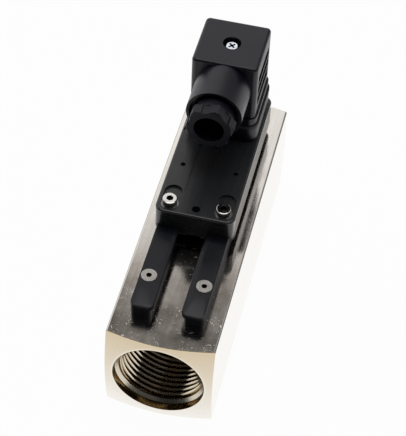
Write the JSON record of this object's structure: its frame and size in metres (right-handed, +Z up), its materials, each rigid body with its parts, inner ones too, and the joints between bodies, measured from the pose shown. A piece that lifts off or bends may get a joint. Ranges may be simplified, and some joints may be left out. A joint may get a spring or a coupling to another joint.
{
  "type": "variable area flow switch",
  "caption": "Square metal pipe body with a spring-loaded magnet float inside and a switch head with an angled connector plug that slides on two rails.",
  "frame": {"origin": "bottom centre of the square body's underside", "axes": "+Y along the flow from inlet to outlet, +Z up to the switch head, +X to the right seen from the inlet"},
  "size_m": [0.041, 0.135, 0.0933],
  "materials": {
    "nickel_plated_brass": "polished nickel plate",
    "turned_brass": "turned",
    "spring_steel": "drawn",
    "stainless_steel": "bright",
    "zinc_plated_steel": "bright zinc",
    "jaw_steel": "satin",
    "rail_plastic": "satin moulding",
    "housing_plastic": "satin moulding",
    "connector_plastic": "satin moulding",
    "terminal_plastic": "satin moulding",
    "black_rubber": "dull",
    "ferrite": "ground",
    "circuit_board": "lacquered",
    "reed_glass": "clear",
    "tinned_metal": "tinned",
    "wire_insulation": "plain"
  },
  "bodies": {
    "pipe_body": {"body": "nickel_plated_brass", "slotted_nozzle": "turned_brass", "nozzle_o_ring": "black_rubber", "retaining_ring": "spring_steel", "spring_seat": "turned_brass", "return_spring": "spring_steel", "rail_left": "rail_plastic", "rail_right": "rail_plastic", "rail_screws": "stainless_steel"},
    "float": {"float_piston": "turned_brass", "ring_magnet": "ferrite", "magnet_washer": "stainless_steel"},
    "switch_head": {"sliding_base": "housing_plastic", "switch_housing": "housing_plastic", "clamp_washers": "stainless_steel", "reed_board": "circuit_board", "reed_glass": "reed_glass", "reed_leads": "tinned_metal", "lead_wires": "wire_insulation", "connector_base": "connector_plastic", "contact_blades": "tinned_metal", "threaded_insert": "turned_brass", "plug_gasket": "black_rubber"},
    "left_clamp_screw": {"clamp_screw_left": "stainless_steel"},
    "right_clamp_screw": {"clamp_screw_right": "stainless_steel"},
    "left_jaw": {"clamp_jaw_left": "jaw_steel"},
    "right_jaw": {"clamp_jaw_right": "jaw_steel"},
    "plug": {"plug_housing": "connector_plastic", "terminal_block": "terminal_plastic", "terminal_sockets": "turned_brass", "terminal_screws": "stainless_steel", "cable_seal": "black_rubber"},
    "plug_screw_washer": {"centre_screw_washer": "black_rubber"},
    "plug_screw": {"centre_screw": "zinc_plated_steel"},
    "gland_thrust_ring": {"thrust_ring": "connector_plastic"},
    "gland": {"gland_nut": "connector_plastic"}
  },
  "joints": [
    {"name": "float_travel", "type": "slide", "parent": "pipe_body", "child": "float", "axis": [0, 1, 0], "range_m": [0, 0.022], "stiffness_N_per_m": 60, "springref_m": -0.006, "deforming": ["return_spring"]},
    {"name": "head_slide", "type": "slide", "parent": "pipe_body", "child": "switch_head", "axis": [0, 1, 0], "range_m": [-0.038, 0]},
    {"name": "plug_pull", "type": "slide", "parent": "switch_head", "child": "plug", "axis": [0, 0, 1], "range_m": [0, 0.03]},
    {"name": "centre_screw_rise", "type": "slide", "parent": "plug", "child": "plug_screw_washer", "axis": [0, 0, 1], "range_m": [0, 0.003]},
    {"name": "centre_screw_turn", "type": "hinge", "parent": "plug_screw_washer", "child": "plug_screw", "pos_m": [0, 0.04185, 0.0898], "axis": [0, 0, 1], "range_deg": [0, 2160]},
    {"name": "gland_travel", "type": "slide", "parent": "plug", "child": "gland_thrust_ring", "axis": [0, -1, 0], "range_m": [0, 0.0045]},
    {"name": "gland_nut_turn", "type": "hinge", "parent": "gland_thrust_ring", "child": "gland", "pos_m": [0, 0.0047, 0.082], "axis": [0, -1, 0], "range_deg": [0, 1080]},
    {"name": "left_clamp_turn", "type": "hinge", "parent": "switch_head", "child": "left_clamp_screw", "pos_m": [-0.0104, -0.0112, 0.0556], "axis": [0, 0, 1], "range_deg": [0, 360]},
    {"name": "left_jaw_drop", "type": "slide", "parent": "switch_head", "child": "left_jaw", "axis": [0, 0, -1], "range_m": [0, 0.0005]},
    {"name": "right_clamp_turn", "type": "hinge", "parent": "switch_head", "child": "right_clamp_screw", "pos_m": [0.0104, -0.0112, 0.0556], "axis": [0, 0, 1], "range_deg": [0, 360]},
    {"name": "right_jaw_drop", "type": "slide", "parent": "switch_head", "child": "right_jaw", "axis": [0, 0, -1], "range_m": [0, 0.0005]}
  ],
  "couplings": [
    {"joint": "centre_screw_turn", "follows": "centre_screw_rise", "rad_per_m": 12566},
    {"joint": "gland_nut_turn", "follows": "gland_travel", "rad_per_m": 4188.8},
    {"joint": "left_clamp_turn", "follows": "left_jaw_drop", "rad_per_m": 12566},
    {"joint": "right_clamp_turn", "follows": "right_jaw_drop", "rad_per_m": 12566}
  ]
}
